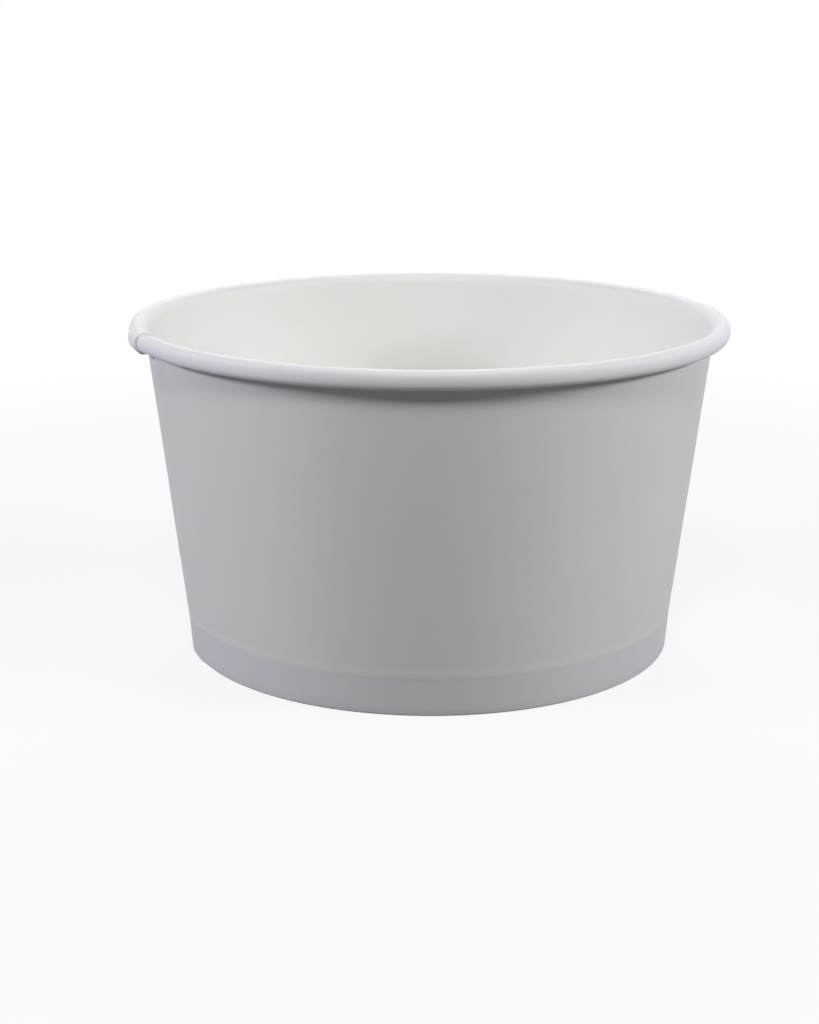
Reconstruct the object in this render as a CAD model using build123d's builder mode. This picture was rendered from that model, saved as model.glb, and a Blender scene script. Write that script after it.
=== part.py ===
from build123d import *
import os
from math import asin, atan2, copysign, cos, degrees, hypot, radians, sin, tan

# A paper soup bowl made of two pieces of coated board. The side wall is a fan-shaped blank
# rolled into a cone, glued along one lap seam, curled outward into a rolled rim and folded
# in under itself at the foot. The bottom is a disc with a turned-down skirt that is gripped
# inside that fold. Millimetres, +Z up, the origin on the table under the bowl's middle.

# Overall sizes
rim_diameter = 142.0          # across the rolled rim, away from the seam
foot_diameter = 117.0         # across the outside of the foot
bowl_height = 79.5

# Board
wall_board = 0.5              # side wall
disc_board = 0.4              # bottom disc

# Rolled rim
curl_diameter = 4.25          # its depth and its height
curl_face_radius = 3.7        # the front of the roll is pressed a little flat
curl_face_tilt = 15.0         # degrees that the flatter face turns each way from upright
curl_gap = 0.4                # air between the wall and the tucked end of the roll
curl_tuck = 105.0             # degrees that the tucked end turns inside the roll

# Foot band, where the folded hem holds the bottom's skirt
band_height = 9.0
band_lean = 4.7               # degrees from upright, steeper than the cone above
band_ease_radius = 40.0       # soft bend between the band and the cone
hem_top = 7.4                 # free edge of the hem, above the table
fold_radius = 0.05            # inside the pressed fold under the foot

# Bottom disc
floor_height = 9.0            # upper face of the disc, above the table
disc_bend_radius = 0.6        # inside the bend between disc and skirt
skirt_bottom = 1.5            # free edge of the skirt, above the table

# Lap seam
seam_azimuth = 201.5          # where the inner ply's free edge shows, anticlockwise from +X
lap_width = 7.0               # along the rim, from one ply's free edge to the other's
seam_ramp = 7.0               # along the rim, from a free edge to where the wall is round again
ramp_steps = 3
lap_curl_diameter = 5.0       # the roll is thicker where it has two plies

# Straight runs that each bend of the board is drawn with
rise_runs = 3                 # from the cone to the top of the rim
corner_runs = 2               # above and below the roll's flatter face
face_runs = 2                 # the face itself
tuck_runs = 2                 # the end that is tucked into the roll
fold_runs = 2                 # each side of the fold under the foot
ease_runs = 1                 # between the band and the cone
disc_bend_runs = 3

os.makedirs("parts", exist_ok=True)

upright = 90.0
full_turn = 360.0
rim_radius = rim_diameter / 2

# The wall's inner face from the fold to the top of the band, as (radius, height)
band_direction = Vector(sin(radians(band_lean)), cos(radians(band_lean)))
band_inward = Vector(-band_direction.Y, band_direction.X)
fold_outside = wall_board + fold_radius
fold_centre = Vector(foot_diameter / 2 + band_inward.X * fold_outside, fold_outside)
fold_end = fold_centre - band_inward * fold_radius


def band_point(height):
    """Point of the band's inner face at a height above the table."""
    return fold_end + band_direction * ((height - fold_end.Y) / band_direction.Y)


def curl_radii(diameter):
    """Radii of the roll's corners and of the rise to its top, and the top's reach to the face."""
    tilt = radians(curl_face_tilt)
    corner = (diameter / 2 - curl_face_radius * sin(tilt)) / (1 - sin(tilt))
    reach = corner * cos(tilt) + curl_face_radius * (1 - cos(tilt))
    return corner, diameter - reach, reach


# The cone runs from the top of the band to a tangent of the rise to the rolled rim
_, rise_radius, curl_reach = curl_radii(curl_diameter)
to_rise = Vector(rim_radius - curl_reach, bowl_height - rise_radius) - band_point(band_height)
wall_lean = degrees(atan2(to_rise.X, to_rise.Y) - asin(rise_radius / hypot(to_rise.X, to_rise.Y)))
ease_turn = wall_lean - band_lean
ease_reach = band_ease_radius * tan(radians(abs(ease_turn) / 2))


def bend(start, direction, radius, turn, runs):
    """Bend of the board, drawn as straight runs between points of its arc, which it gives."""
    arc = JernArc(start, direction, radius, turn, mode=Mode.PRIVATE)
    Polyline([arc @ (count / runs) for count in range(runs + 1)])
    return arc


def ply_line(depth, outer, roll):
    """Line from the hem to the end of the roll, depth mm behind the bowl's inner face.

    outer is the depth of the board's outer face, which stands on the table and lies
    inside the roll. roll is the diameter of the roll. Gives the line's two ends.
    """
    fold_at = fold_centre + band_direction * ((outer - wall_board) / band_direction.Y)
    fold_flat = (disc_board - 2 * fold_radius) / band_direction.Y
    hem_foot = fold_at - Vector(fold_flat, 0) + band_inward * (fold_radius + depth)
    hem_length = (hem_top - hem_foot.Y) / band_direction.Y
    band_foot = fold_at.Y - band_inward.Y * fold_radius
    band_length = (band_height - band_foot) / band_direction.Y - ease_reach
    ease_radius = band_ease_radius - copysign(depth, ease_turn)
    corner_radius, rise_radius, _ = curl_radii(roll)
    cone_top = bowl_height - rise_radius * (1 - sin(radians(wall_lean)))
    cone_length = (cone_top - band_height) / cos(radians(wall_lean)) - ease_reach
    tuck_radius = rise_radius - outer - curl_gap
    corner_turn = curl_face_tilt - upright

    hem = Line(hem_foot + band_direction * hem_length, hem_foot)
    fold_in = bend(hem @ 1, hem % 1, fold_radius + depth, upright + band_lean, fold_runs)
    sole = PolarLine(fold_in @ 1, fold_flat, direction=fold_in % 1)
    fold_up = bend(sole @ 1, sole % 1, fold_radius + depth, upright - band_lean, fold_runs)
    band = PolarLine(fold_up @ 1, band_length, direction=fold_up % 1)
    ease = bend(band @ 1, band % 1, ease_radius, -ease_turn, ease_runs)
    cone = PolarLine(ease @ 1, cone_length, direction=ease % 1)
    rise = bend(cone @ 1, cone % 1, rise_radius - depth, wall_lean - upright, rise_runs)
    corner = bend(rise @ 1, rise % 1, corner_radius - depth, corner_turn, corner_runs)
    face = bend(corner @ 1, corner % 1, curl_face_radius - depth, -2 * curl_face_tilt, face_runs)
    under = bend(face @ 1, face % 1, corner_radius - depth, corner_turn, corner_runs)
    tuck = bend(under @ 1, under % 1, tuck_radius - depth, -curl_tuck, tuck_runs)
    return hem @ 0, tuck @ 1


def wall_slice(azimuth, inner, outer, roll):
    """Section of the side wall at an azimuth, between two depths behind its inner face."""
    turn = radians(azimuth)
    plane = Plane(origin=(0, 0, 0), x_dir=(cos(turn), sin(turn), 0), z_dir=(sin(turn), -cos(turn), 0))
    with BuildSketch(plane) as section:
        with BuildLine():
            inner_ends = ply_line(inner, outer, roll)
            outer_ends = ply_line(outer, outer, roll)
            Line(inner_ends[0], outer_ends[0])
            Line(inner_ends[1], outer_ends[1])
        make_face()
    return section.sketch


round_wall = {"inner": 0, "outer": wall_board, "roll": curl_diameter}
both_plies = {"inner": 0, "outer": 2 * wall_board, "roll": lap_curl_diameter}
inner_ply = both_plies | {"outer": wall_board}
outer_ply = both_plies | {"inner": wall_board}


def ramp(start_azimuth, start, end_azimuth, end):
    """One ply that changes evenly from the start section to the end section."""
    shares = [step / ramp_steps for step in range(ramp_steps + 1)]
    slices = []
    for share in shares:
        sizes = {name: start[name] + (end[name] - start[name]) * share for name in start}
        slices.append(wall_slice(start_azimuth + (end_azimuth - start_azimuth) * share, **sizes))
    loft(slices)


# The inner ply comes in over its ramp, the lap has both plies, the outer ply settles over
# the second ramp, and the rest of the wall is round.
lap_turn = degrees(lap_width / rim_radius)
ramp_turn = degrees(seam_ramp / rim_radius)
lap_start = seam_azimuth - lap_turn
round_start = seam_azimuth + ramp_turn
with BuildPart() as side_wall:
    ramp(lap_start - ramp_turn, round_wall, lap_start, inner_ply)
    revolve(wall_slice(lap_start, **both_plies), revolution_arc=lap_turn)
    ramp(seam_azimuth, outer_ply, round_start, round_wall)
    revolve(wall_slice(round_start, **round_wall), revolution_arc=full_turn - lap_turn - 2 * ramp_turn)
side_wall.part.label = "side_wall"
export_step(side_wall.part, "parts/side_wall.step")

# The skirt's outer face lies on the band's inner face, and the hem lies on its inner face
with BuildPart() as bottom_disc:
    with BuildSketch(Plane.XZ):
        upper_bend_radius = disc_bend_radius + disc_board
        skirt_top = floor_height - upper_bend_radius * (1 + sin(radians(band_lean)))
        skirt_outside = band_point(skirt_bottom)
        skirt_inside = skirt_outside + band_inward * disc_board
        skirt_length = (skirt_top - skirt_bottom) / band_direction.Y
        with BuildLine():
            Line(skirt_outside, skirt_inside)
            outside = PolarLine(skirt_outside, skirt_length, direction=band_direction)
            inside = PolarLine(skirt_inside, skirt_length, direction=band_direction)
            skirt_turn = upright + band_lean
            upper_bend = bend(outside @ 1, outside % 1, upper_bend_radius, skirt_turn, disc_bend_runs)
            lower_bend = bend(inside @ 1, inside % 1, disc_bend_radius, skirt_turn, disc_bend_runs)
            floor = Line(upper_bend @ 1, (0, floor_height))
            underside = Line(lower_bend @ 1, (0, floor_height - disc_board))
            Line(floor @ 1, underside @ 1)
        make_face()
    revolve()
bottom_disc.part.label = "bottom_disc"
export_step(bottom_disc.part, "parts/bottom_disc.step")
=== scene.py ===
from math import asin, atan2, copysign, cos, hypot, pi, radians, sin, tan

import bpy
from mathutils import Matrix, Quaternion, Vector


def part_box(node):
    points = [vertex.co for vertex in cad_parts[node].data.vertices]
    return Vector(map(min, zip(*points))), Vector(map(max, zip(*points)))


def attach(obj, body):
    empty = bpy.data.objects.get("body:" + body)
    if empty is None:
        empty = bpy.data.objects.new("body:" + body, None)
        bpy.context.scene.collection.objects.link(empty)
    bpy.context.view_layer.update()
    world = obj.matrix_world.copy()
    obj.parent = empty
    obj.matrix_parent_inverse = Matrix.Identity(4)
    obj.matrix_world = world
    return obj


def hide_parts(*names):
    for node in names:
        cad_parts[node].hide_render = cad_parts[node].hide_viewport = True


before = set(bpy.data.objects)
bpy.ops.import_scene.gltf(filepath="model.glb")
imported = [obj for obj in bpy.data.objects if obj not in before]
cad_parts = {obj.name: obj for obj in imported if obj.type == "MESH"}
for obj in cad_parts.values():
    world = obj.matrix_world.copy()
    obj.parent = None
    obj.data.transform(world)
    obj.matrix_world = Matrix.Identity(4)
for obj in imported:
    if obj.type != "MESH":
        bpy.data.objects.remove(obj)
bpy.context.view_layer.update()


# Side wall
# The cone, the rolled rim and the folded foot are one fan-shaped blank of white board, coated
# on its inner face. It is rolled up and heat sealed along one lap, then its top edge is curled
# outward and its bottom edge folded in. Its section is drawn as a line and spun about the axis.
mm = 0.001
_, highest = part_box("side_wall")
rim_radius = highest.x
bowl_height = highest.z
foot_radius = 58.5 * mm
wall_board = 0.5 * mm
disc_board = 0.4 * mm
glue_line = 0.02 * mm
roll_size = 4.25 * mm
lap_roll_size = 5.0 * mm
roll_face_radius = 3.7 * mm
roll_face_tilt = radians(15)
roll_gap = 0.4 * mm
tuck_turn = radians(105)
fold_radius = 0.05 * mm
hem_top = 7.4 * mm
band_height = 9.0 * mm
band_lean = radians(4.7)
ease_radius = 40 * mm
quarter = pi / 2
full_turn = 2 * pi
spin_axis = Vector((0, -1, 0))

# Faces along each stretch of the section, from the hem's free edge to the end inside the roll
hem_steps = 3
fold_steps = 4
band_steps = 5
ease_steps = 3
cone_steps = 30
rise_steps = 10
corner_steps = 8
face_steps = 5
tuck_steps = 8

# The lap, and the ramp on each side of it, are each lap_width wide along the rim. A ply runs on
# by past_edge beyond the free edge of the other before its ramp starts.
lap_end = radians(201.5)
lap_width = 7.0 * mm
past_edge = radians(0.3)
lap_turn = lap_width / rim_radius
lap_start = lap_end - lap_turn
round_start = lap_end + lap_turn
round_turn = full_turn - 3 * lap_turn
round_steps = 340
lap_steps = 6

# The foot band's inner face, in the upright plane through +X, from the fold up to the cone
band_up = Vector((sin(band_lean), 0, cos(band_lean)))
band_inward = spin_axis.cross(band_up)
fold_centre = Vector((foot_radius, 0, 0)) + band_inward * (wall_board + fold_radius)
fold_centre.z = wall_board + fold_radius
band_foot = fold_centre - band_inward * fold_radius
band_top = band_foot + band_up * ((band_height - band_foot.z) / band_up.z)


def roll_radii(size):
    """Radii of the roll's corners and of the rise to its top, and the top's reach to the face."""
    corner = (size / 2 - roll_face_radius * sin(roll_face_tilt)) / (1 - sin(roll_face_tilt))
    reach = corner * cos(roll_face_tilt) + roll_face_radius * (1 - cos(roll_face_tilt))
    return corner, size - reach, reach


_, rise_radius, roll_reach = roll_radii(roll_size)
to_rise = Vector((rim_radius - roll_reach, 0, bowl_height - rise_radius)) - band_top
wall_lean = atan2(to_rise.x, to_rise.z) - asin(rise_radius / hypot(to_rise.x, to_rise.z))
ease_turn = wall_lean - band_lean
ease_reach = ease_radius * tan(ease_turn / 2)


class Section:
    """An upright line through the board, drawn in edit mode from its last point onward."""

    def __init__(self, start, heading):
        """Merges a small plane into the line's first point and moves it to its place."""
        bpy.ops.object.select_all(action="DESELECT")
        bpy.ops.mesh.primitive_plane_add(size=mm)
        bpy.ops.object.mode_set(mode="EDIT")
        bpy.ops.mesh.select_mode(type="VERT")
        bpy.ops.mesh.merge(type="CENTER")
        bpy.ops.transform.translate(value=start)
        self.point = Vector(start)
        self.heading = Vector(heading)

    def run(self, length, steps=1):
        """Extrudes straight on."""
        step = self.heading * (length / steps)
        for _ in range(steps):
            bpy.ops.mesh.extrude_region_move(TRANSFORM_OT_translate={"value": step})
            self.point += step

    def bend(self, radius, turn, steps):
        """Spins round a bend, to the left where turn is positive."""
        left = spin_axis.cross(self.heading)
        centre = self.point + left * copysign(radius, turn)
        bpy.ops.mesh.spin(steps=steps, angle=-turn, center=centre, axis=spin_axis)
        rotation = Quaternion(spin_axis, turn)
        self.point = centre + rotation @ (self.point - centre)
        self.heading = rotation @ self.heading

    def turn_about_axis(self, start, sweep, steps):
        """Spins the whole line about the bowl's axis and gives the finished object."""
        bpy.ops.mesh.select_all(action="SELECT")
        bpy.ops.mesh.spin(steps=steps, angle=-sweep, center=(0, 0, 0), axis=(0, 0, 1))
        bpy.ops.object.mode_set(mode="OBJECT")
        piece = bpy.context.object
        piece.rotation_euler.z = start
        bpy.ops.object.transform_apply(location=False, rotation=True, scale=False)
        return piece


def ply_sheet(depth, outer, roll, start, sweep, steps):
    """One ply of the wall, depth behind the bowl's inner face, from the hem to the roll.

    outer is the depth of the wall's outer face there, and roll is the roll's diameter.
    """
    fold_at = fold_centre + band_up * ((outer - wall_board) / band_up.z)
    sole = (disc_board - 2 * fold_radius) / band_up.z
    hem_foot = fold_at - Vector((sole, 0, 0)) + band_inward * (fold_radius + depth)
    hem = (hem_top - hem_foot.z) / band_up.z
    band = (band_height - fold_at.z + band_inward.z * fold_radius) / band_up.z - ease_reach
    corner, rise, _ = roll_radii(roll)
    cone_top = bowl_height - rise * (1 - sin(wall_lean))
    cone = (cone_top - band_height) / cos(wall_lean) - ease_reach
    line = Section(hem_foot + band_up * hem, -band_up)
    line.run(hem, hem_steps)
    line.bend(fold_radius + depth, quarter + band_lean, fold_steps)
    line.run(sole)
    line.bend(fold_radius + depth, quarter - band_lean, fold_steps)
    line.run(band, band_steps)
    line.bend(ease_radius - depth, -ease_turn, ease_steps)
    line.run(cone, cone_steps)
    line.bend(rise - depth, wall_lean - quarter, rise_steps)
    line.bend(corner - depth, roll_face_tilt - quarter, corner_steps)
    line.bend(roll_face_radius - depth, -2 * roll_face_tilt, face_steps)
    line.bend(corner - depth, roll_face_tilt - quarter, corner_steps)
    line.bend(rise - outer - roll_gap - depth, -tuck_turn, tuck_steps)
    return line.turn_about_axis(start, sweep, steps)


def pick(*pieces):
    """Selects these pieces alone, with the first of them active."""
    bpy.ops.object.select_all(action="DESELECT")
    for piece in pieces:
        piece.select_set(True)
    bpy.context.view_layer.objects.active = pieces[0]


def azimuth_of(point):
    """Angle round the axis, anticlockwise from +X, between 0 and a full turn."""
    return atan2(point.y, point.x) % full_turn


def bridge(sheet, other, azimuths):
    """Joins two sheets of the wall across the gap between their facing upright edges."""
    pick(sheet, other)
    bpy.ops.object.join()
    bpy.ops.object.mode_set(mode="EDIT")
    bpy.ops.mesh.select_mode(type="VERT")
    bpy.ops.mesh.select_all(action="DESELECT")
    bpy.ops.object.mode_set(mode="OBJECT")
    for vertex in sheet.data.vertices:
        vertex.select = min(abs(azimuth_of(vertex.co) - edge) for edge in azimuths) < past_edge / 4
    bpy.ops.object.mode_set(mode="EDIT")
    bpy.ops.mesh.bridge_edge_loops(number_cuts=lap_steps - 1, interpolation="SURFACE")
    bpy.ops.object.mode_set(mode="OBJECT")


lap_outer = 2 * wall_board + glue_line
outer_depth = wall_board + glue_line
inner_start = lap_start - past_edge
outer_end = lap_end + past_edge
round_end = round_start + round_turn - full_turn
lap_sweep = lap_turn + past_edge
wall = ply_sheet(0, wall_board, roll_size, round_start, round_turn, round_steps)
inner_ply = ply_sheet(0, lap_outer, lap_roll_size, inner_start, lap_sweep, lap_steps)
bridge(wall, inner_ply, (round_end, inner_start))
outer_ply = ply_sheet(outer_depth, lap_outer, lap_roll_size, lap_start, lap_sweep, lap_steps)
bridge(wall, outer_ply, (outer_end, round_start))
wall.name = "board_wall"

# The wall is never quite true: it swells and dips a little between the foot and the rim, which
# hold it true near them
held_by_foot = 25 * mm
held_by_rim = 20 * mm
stiff_under_rim = 5 * mm
wall_unevenness = 0.25 * mm
unevenness = bpy.data.textures.new("unevenness", "CLOUDS")
unevenness.noise_scale = 35 * mm


def apply_modifier(piece, kind, **settings):
    """Adds a modifier with its settings and applies it."""
    modifier = piece.modifiers.new(kind.title(), kind)
    for name, value in settings.items():
        setattr(modifier, name, value)
    pick(piece)
    bpy.ops.object.modifier_apply(modifier=modifier.name)


def close_sheet(piece):
    """Merges the doubled points of a sheet and turns all its faces the same way."""
    pick(piece)
    bpy.ops.object.mode_set(mode="EDIT")
    bpy.ops.mesh.select_all(action="SELECT")
    bpy.ops.mesh.remove_doubles(threshold=0.001 * mm)
    bpy.ops.mesh.normals_make_consistent(inside=False)
    bpy.ops.object.mode_set(mode="OBJECT")


def slacken(piece, depth, slack_at):
    """Lets a sheet swell and dip through depth, less where slack_at gives less than 1."""
    slack = piece.vertex_groups.new(name="slack")
    for vertex in piece.data.vertices:
        slack.add([vertex.index], slack_at(vertex.co), "REPLACE")
    apply_modifier(piece, "DISPLACE", texture=unevenness, texture_coords="LOCAL", strength=depth,
                   mid_level=0.5, vertex_group=slack.name)


def smoothstep(value, low, high):
    """Rises smoothly from 0 at low to 1 at high, which may be the lower number."""
    share = min(max((value - low) / (high - low), 0), 1)
    return share * share * (3 - 2 * share)


def wall_slack(point):
    """0 at the foot and the rim, and 1 in the middle of the wall."""
    from_foot = smoothstep(point.z, band_height, band_height + held_by_foot)
    from_rim = smoothstep(point.z, bowl_height - stiff_under_rim, bowl_height - held_by_rim)
    return from_foot * from_rim


close_sheet(wall)
slacken(wall, wall_unevenness, wall_slack)


class Wire:
    """A node's output, on which + - * add Math nodes, or just the node tree if it has no socket."""

    def __init__(self, tree, socket=None):
        self.tree = tree
        self.socket = socket

    def node(self, kind, settings, inputs, output=0):
        """Adds a node: its settings first, then the values or wires of its inputs."""
        made = self.tree.nodes.new(kind)
        for name, value in settings.items():
            setattr(made, name, value)
        for name, value in inputs.items():
            if isinstance(value, Wire):
                self.tree.links.new(value.socket, made.inputs[name])
            else:
                made.inputs[name].default_value = value
        return Wire(self.tree, made.outputs[output])

    def maths(self, operation, *values):
        """Adds a Math node on these values or wires."""
        return self.node("ShaderNodeMath", {"operation": operation}, dict(enumerate(values)))

    def __add__(self, other):
        return self.maths("ADD", self, other)

    def __sub__(self, other):
        return self.maths("SUBTRACT", self, other)

    def __mul__(self, other):
        return self.maths("MULTIPLY", self, other)

    __radd__ = __add__
    __rmul__ = __mul__

    def __rsub__(self, other):
        return self.maths("SUBTRACT", other, self)


def feed(shader, name, wire):
    """Links a wire to an input of a shader or of an output node."""
    wire.tree.links.new(wire.socket, shader.inputs[name])


def noise(place, scale, detail=3.0):
    """Cloudy noise from 0 to 1, with scale blobs to the metre."""
    inputs = {"Vector": place, "Scale": scale, "Detail": detail, "Roughness": 0.6}
    return place.node("ShaderNodeTexNoise", {}, inputs)


def blend(low, high, share):
    """Colour between two colours, each of them a wire or three numbers."""
    low, high = (colour if isinstance(colour, Wire) else (*colour, 1) for colour in (low, high))
    # A Mix node takes its two colours at inputs 6 and 7 and gives the blend at output 2
    return share.node("ShaderNodeMix", {"data_type": "RGBA"}, {0: share, 6: low, 7: high}, 2)


def step_up(value, low, high):
    """Rises smoothly from 0 where the value is low to 1 where it is high."""
    inputs = {"Value": value, "From Min": low, "From Max": high}
    return value.node("ShaderNodeMapRange", {"interpolation_type": "SMOOTHSTEP"}, inputs)


def height_of(place):
    """Height above the table."""
    return place.node("ShaderNodeSeparateXYZ", {}, {"Vector": place}, "Z")


def length_of(place):
    """Distance from the origin."""
    return place.node("ShaderNodeVectorMath", {"operation": "LENGTH"}, {0: place}, "Value")


def radius_of(place):
    """Distance from the bowl's axis."""
    inputs = {0: place, 1: (1, 1, 0)}
    return length_of(place.node("ShaderNodeVectorMath", {"operation": "MULTIPLY"}, inputs))


def ridges(place, count):
    """Upright ridges all round the bowl, as a wave from 0 to 1."""
    x, y = (place.node("ShaderNodeSeparateXYZ", {}, {"Vector": place}, axis) for axis in "XY")
    return x.maths("SINE", x.maths("ARCTAN2", y, x) * count) * 0.5 + 0.5


def new_material(name):
    """An empty material, with its shader and a wire that holds the place on the object."""
    material = bpy.data.materials.new(name)
    material.use_nodes = True
    shader = material.node_tree.nodes["Principled BSDF"]
    place = Wire(material.node_tree).node("ShaderNodeTexCoord", {}, {}, "Object")
    return material, shader, place


# The outer face's white is the board's own, made a little warm as painted light that shines
# through one layer of board. The foot band has a darker, cooler painted shade where its three
# layers let no light through, and the roll, the same coated face, a lighter, cooler painted highlight.
coated_white = (0.885, 0.88, 0.85)
roll_painted_highlight = (0.885, 0.895, 0.912)
bare_white = (0.815, 0.80, 0.785)
foot_painted_shade = (0.738, 0.742, 0.76)
cut_pulp = (0.89, 0.885, 0.875)
warm_drift = (0.985, 0.98, 0.97)
cool_drift = (1.015, 1.02, 1.03)

# Clouds and flecks in the pulp, patches of gloss, fibres and cockles, each by its scale
clouds = 70.0
flecks = 420.0
fleck_share = 0.3
gloss_patches = 900.0
gloss_drift = 0.12
fibres = 1500.0
fibre_detail = 4.0
cockles = 260.0
cockle_share = 1.4


def mottled(colour, mottle):
    """A board colour that drifts from a warmer shade to a cooler, lighter one."""
    warmer = [part * drift for part, drift in zip(colour, warm_drift)]
    cooler = [part * drift for part, drift in zip(colour, cool_drift)]
    return blend(warmer, cooler, mottle)


def board_finish(name, colour, roughness, grain, coat=0.0, zone=None, painted_light_colour=None, relief=None):
    """White board: faint mottling in the pulp, a fine grain, and the gloss of its coating.

    zone gives the share of a second colour, on the wall the foot's painted shade and the roll's
    painted highlight. grain is the height of the fibres, and relief gives a height to add to it, both
    in millimetres.
    """
    material, shader, place = new_material(name)
    mottle = noise(place, clouds) * (1 - fleck_share) + noise(place, flecks) * fleck_share
    shade = mottled(colour, mottle)
    if zone:
        shade = blend(shade, mottled(painted_light_colour, mottle), zone(place))
    feed(shader, "Base Color", shade)
    feed(shader, "Roughness", roughness + (noise(place, gloss_patches) - 0.5) * gloss_drift)
    height = noise(place, fibres, fibre_detail) * grain + noise(place, cockles) * (grain * cockle_share)
    if relief:
        height = height + relief(place)
    bump = place.node("ShaderNodeBump", {}, {"Strength": 1.0, "Distance": mm, "Height": height})
    feed(shader, "Normal", bump)
    shader.inputs["Specular IOR Level"].default_value = 0.16
    shader.inputs["Coat Weight"].default_value = coat
    shader.inputs["Coat Roughness"].default_value = 0.3
    return material


# Each pair is where a zone's soft edge starts and ends, in height or in distance from the axis.
# The hem is knurled where it grips the skirt, and a faint bead runs outside the floor's edge.
roll_top = (bowl_height - 1.8 * mm, bowl_height - 0.4 * mm)
roll_outside = (rim_radius - 3.0 * mm, rim_radius - 1.8 * mm)
above_foot = (band_height - 1.0 * mm, band_height - 0.2 * mm)
bead_crest = band_height + 0.3 * mm
bead_below = (bead_crest - 1.1 * mm, bead_crest)
bead_above = (bead_crest, bead_crest + 2.2 * mm)
bead_rise = 0.06
behind_wall = foot_radius - 2 * wall_board
past_hem = (behind_wall - 0.2 * mm, behind_wall)
knurl_foot = (1.5 * mm, 2.5 * mm)
knurl_top = (hem_top - 2 * mm, hem_top - 1 * mm)
knurl_rise = 0.08
knurls = 190


def painted_highlight_on_roll(place):
    """Where the roll's painted highlight goes: its top, and all of it that lies outside the wall."""
    below_top = 1 - step_up(height_of(place), *roll_top)
    inside = 1 - step_up(radius_of(place), *roll_outside)
    return 1 - below_top * inside


def painted_shade_on_foot(place):
    """Where the foot band's painted shade goes: the band, up to where the floor's edge lies behind it.
    """
    return 1 - step_up(height_of(place), *above_foot)


def foot_relief(place):
    """The bead over the floor's edge, and the knurl inside the hem."""
    height = height_of(place)
    bead = step_up(height, *bead_below) * (1 - step_up(height, *bead_above))
    foot_line = radius_of(place) - height * tan(band_lean)
    hem = (1 - step_up(foot_line, *past_hem)) * step_up(height, *knurl_foot)
    hem = hem * (1 - step_up(height, *knurl_top))
    return bead * bead_rise + hem * ridges(place, knurls) * knurl_rise


def thicken(piece, board, finishes):
    """Gives a sheet the board's thickness, and finishes for its front, its back and its edges."""
    for material in finishes:
        piece.data.materials.append(material)
    apply_modifier(piece, "SOLIDIFY", thickness=board, offset=-1.0, use_even_offset=True,
                   use_quality_normals=True, material_offset=1, material_offset_rim=2)


coated_board = {"colour": coated_white, "roughness": 0.5, "grain": 0.006, "coat": 0.05}
cut_board = {"colour": cut_pulp, "roughness": 0.85, "grain": 0.03}
edge_bevel = 0.04 * mm
bevelled_from = radians(50)
smooth_to = radians(30)
# The coated face is lighter and cooler on the roll: a painted highlight.
inner_face = board_finish("wall_inner_face", **coated_board, zone=painted_highlight_on_roll, painted_light_colour=roll_painted_highlight)
# The outer face is darker and cooler on the foot band: painted shade.
outer_face = board_finish("wall_outer_face", bare_white, roughness=0.6, grain=0.010, zone=painted_shade_on_foot,
                          painted_light_colour=foot_painted_shade, relief=foot_relief)
cut_edge = board_finish("wall_cut_edge", **cut_board)
thicken(wall, wall_board, (inner_face, outer_face, cut_edge))
apply_modifier(wall, "BEVEL", width=edge_bevel, segments=1, limit_method="ANGLE",
               angle_limit=bevelled_from)
bpy.ops.object.shade_smooth_by_angle(angle=smooth_to)
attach(wall, "root")
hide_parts("side_wall")


# Bottom
# A disc of thinner board, coated on its upper face, with its edge turned down into a skirt. The
# skirt is heat sealed between the foot and the hem, and lifts the floor clear of the table.
floor_height = 9.0 * mm
bend_inside = 0.6 * mm
skirt_bottom = 1.5 * mm
floor_steps = 40
disc_bend_steps = 7
skirt_steps = 5
held_by_skirt = 15 * mm
floor_unevenness = 0.3 * mm
pucker_reach = 1.5 * mm
pucker_scale = 30.0
pucker_rise = 0.25

disc_bend = bend_inside + disc_board
bend_start = floor_height - disc_bend * (1 + sin(band_lean))
skirt_top = band_foot + band_up * ((bend_start - band_foot.z) / band_up.z) + band_inward * glue_line
floor_edge = skirt_top + band_inward * disc_bend
floor_edge.z = floor_height
line = Section((0, 0, floor_height), (1, 0, 0))
line.run(floor_edge.x, floor_steps)
line.bend(disc_bend, -(quarter + band_lean), disc_bend_steps)
line.run((skirt_top.z - skirt_bottom) / band_up.z, skirt_steps)
bottom = line.turn_about_axis(0, full_turn, round_steps)
bottom.name = "board_bottom"


def floor_slack(point):
    """0 at the floor's edge, and 1 further in."""
    return smoothstep(hypot(point.x, point.y), floor_edge.x, floor_edge.x - held_by_skirt)


def puckers(place):
    """Short gathers round the floor's edge, where the board turns down into the skirt."""
    at_edge = step_up(radius_of(place), floor_edge.x - pucker_reach, floor_edge.x)
    round_edge = place.node("ShaderNodeVectorMath", {"operation": "NORMALIZE"}, {0: place})
    return noise(round_edge, pucker_scale) * at_edge * pucker_rise


close_sheet(bottom)
slacken(bottom, floor_unevenness, floor_slack)
floor_face = board_finish("bottom_upper_face", **coated_board, relief=puckers)
under_face = board_finish("bottom_under_face", bare_white, roughness=0.7, grain=0.014)
disc_edge = board_finish("bottom_cut_edge", **cut_board)
thicken(bottom, disc_board, (floor_face, under_face, disc_edge))
bpy.ops.object.shade_smooth_by_angle(angle=smooth_to)
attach(bottom, "root")
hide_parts("bottom_disc")


# Table
# A plain pale surface that runs out of view. The camera sees it white, with the bowl's soft
# shadow on it, and whiter still further off; other light meets the grey of a shaded table.
table_width = 6.0
table_drop = 0.02 * mm
table_shade = (0.19, 0.195, 0.21)
table_seen = (0.95, 0.95, 0.95)
shadow_ground = 0.16
white_ground = 0.42
least_white = 0.8


def seen_rays(wire):
    """1 for what the camera sees, also in a mirror or through glass, and 0 for other light."""
    names = ("Is Camera Ray", "Is Glossy Ray", "Is Transmission Ray")
    camera, glossy, through = (wire.node("ShaderNodeLightPath", {}, {}, name) for name in names)
    return wire.maths("MAXIMUM", wire.maths("MAXIMUM", camera, glossy), through)


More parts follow.
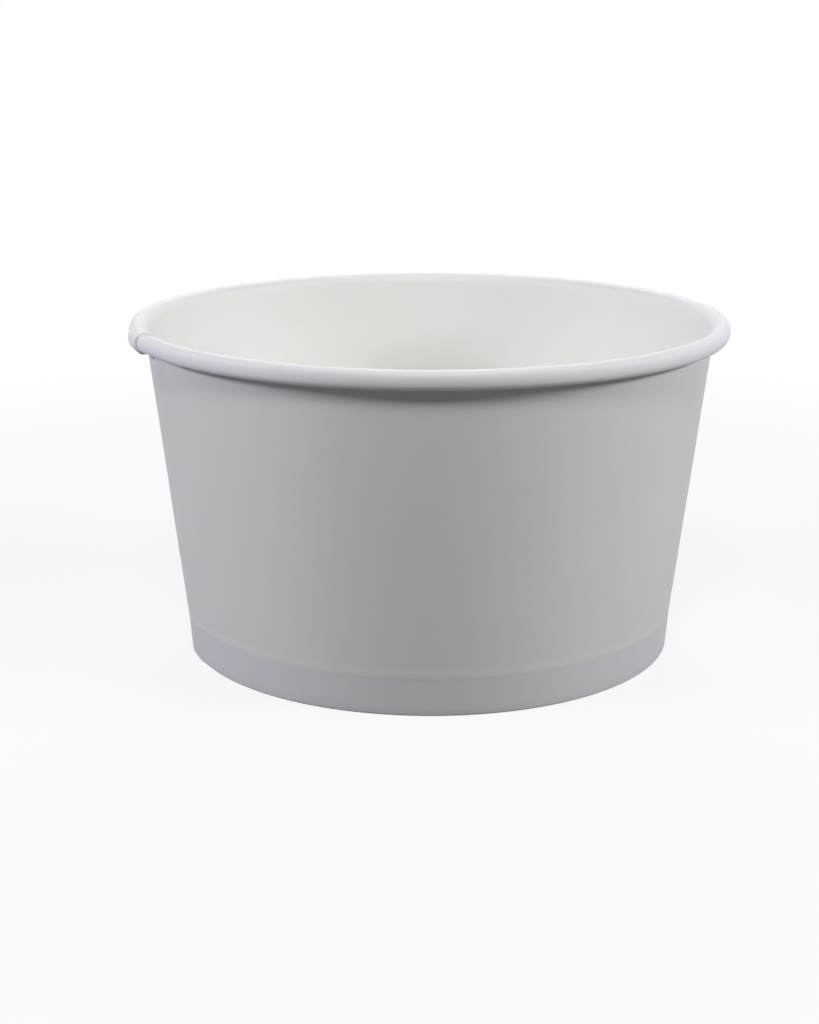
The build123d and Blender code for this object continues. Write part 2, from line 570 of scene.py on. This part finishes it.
bpy.ops.mesh.primitive_plane_add(size=table_width, location=(0, 0, -table_drop))
table = bpy.context.object
table.name = "table"
bpy.ops.object.transform_apply(location=True, rotation=False, scale=False)
material, shader, place = new_material("table_surface")
seen = seen_rays(place)
feed(shader, "Base Color", blend(table_shade, table_seen, seen))
shader.inputs["Roughness"].default_value = 0.9
shader.inputs["Specular IOR Level"].default_value = 0.0
whiteness = step_up(length_of(place), shadow_ground, white_ground) * (1 - least_white) + least_white
white = place.node("ShaderNodeEmission", {}, {"Color": (1, 1, 1, 1), "Strength": 1.0})
surface = Wire(place.tree, shader.outputs["BSDF"])
mixed = place.node("ShaderNodeMixShader", {}, {0: seen * whiteness, 1: surface, 2: white})
feed(place.tree.nodes["Material Output"], "Surface", mixed)
table.data.materials.append(material)


# Light
# A wide strip light stands low at each side and lights a flank. A softbox higher in front lights
# the inside and leaves the near wall in half shade, and weak ones hang behind and overhead.
lamp_distance = 1.1
bowl_middle = Vector((0, 0, bowl_height / 2))
room_colour = (0.95, 0.97, 1.0, 1)
room_strength = 0.02

# Each lamp's degrees round from the camera, degrees up, width and height, watts and colour
lamps = {
    "left": (-76, 25, (0.55, 0.15), 6.15, (0.875, 0.91, 1.0)),
    "right": (76, 25, (0.55, 0.15), 6.75, (0.94, 0.96, 1.0)),
    "front": (-4, 46, (0.25, 0.25), 3.4, (1.0, 0.945, 0.88)),
    "behind": (180, 35, (0.5, 0.5), 3.2, (0.95, 0.97, 1.0)),
    "overhead": (0, 88, (0.5, 0.5), 0.8, (1.0, 0.99, 0.975)),
}
for name, (turn, rise, size, watts, colour) in lamps.items():
    light = bpy.data.lights.new(name, "AREA")
    light.shape = "RECTANGLE"
    light.size, light.size_y = size
    light.energy = watts
    light.color = colour
    level = cos(radians(rise))
    towards = Vector((sin(radians(turn)) * level, -cos(radians(turn)) * level, sin(radians(rise))))
    lamp = bpy.data.objects.new(name, light)
    lamp.location = bowl_middle + towards * lamp_distance
    lamp.rotation_euler = (-towards).to_track_quat("-Z", "Y").to_euler()
    bpy.context.collection.objects.link(lamp)

world = bpy.data.worlds.new("studio")
bpy.context.scene.world = world
world.use_nodes = True
sky = Wire(world.node_tree)
room = sky.node("ShaderNodeBackground", {}, {"Color": room_colour, "Strength": room_strength})
backdrop = sky.node("ShaderNodeBackground", {}, {"Color": (1, 1, 1, 1), "Strength": 1.0})
mixed = sky.node("ShaderNodeMixShader", {}, {0: seen_rays(sky), 1: room, 2: backdrop})
feed(sky.tree.nodes["World Output"], "Surface", mixed)
bpy.context.scene.view_settings.view_transform = "Standard"


# Camera
# It stands where the photograph's did, found by fitting the rim, wall and foot to its outline:
# close by, looking down by about 15 degrees, with the bowl a little right of the middle.
camera_distance = 464.6 * mm
camera_height = radians(15.33)
aim = Vector((-4.73 * mm, 0, 30.6 * mm))
lens_length = 66.58
film_width = 36
camera_data = bpy.data.cameras.new("camera")
camera_data.sensor_width = film_width
camera_data.lens = lens_length
camera = bpy.data.objects.new("camera", camera_data)
camera.location = aim + Vector((0, -cos(camera_height), sin(camera_height))) * camera_distance
camera.rotation_euler = (quarter - camera_height, 0, 0)
bpy.context.collection.objects.link(camera)
bpy.context.scene.camera = camera
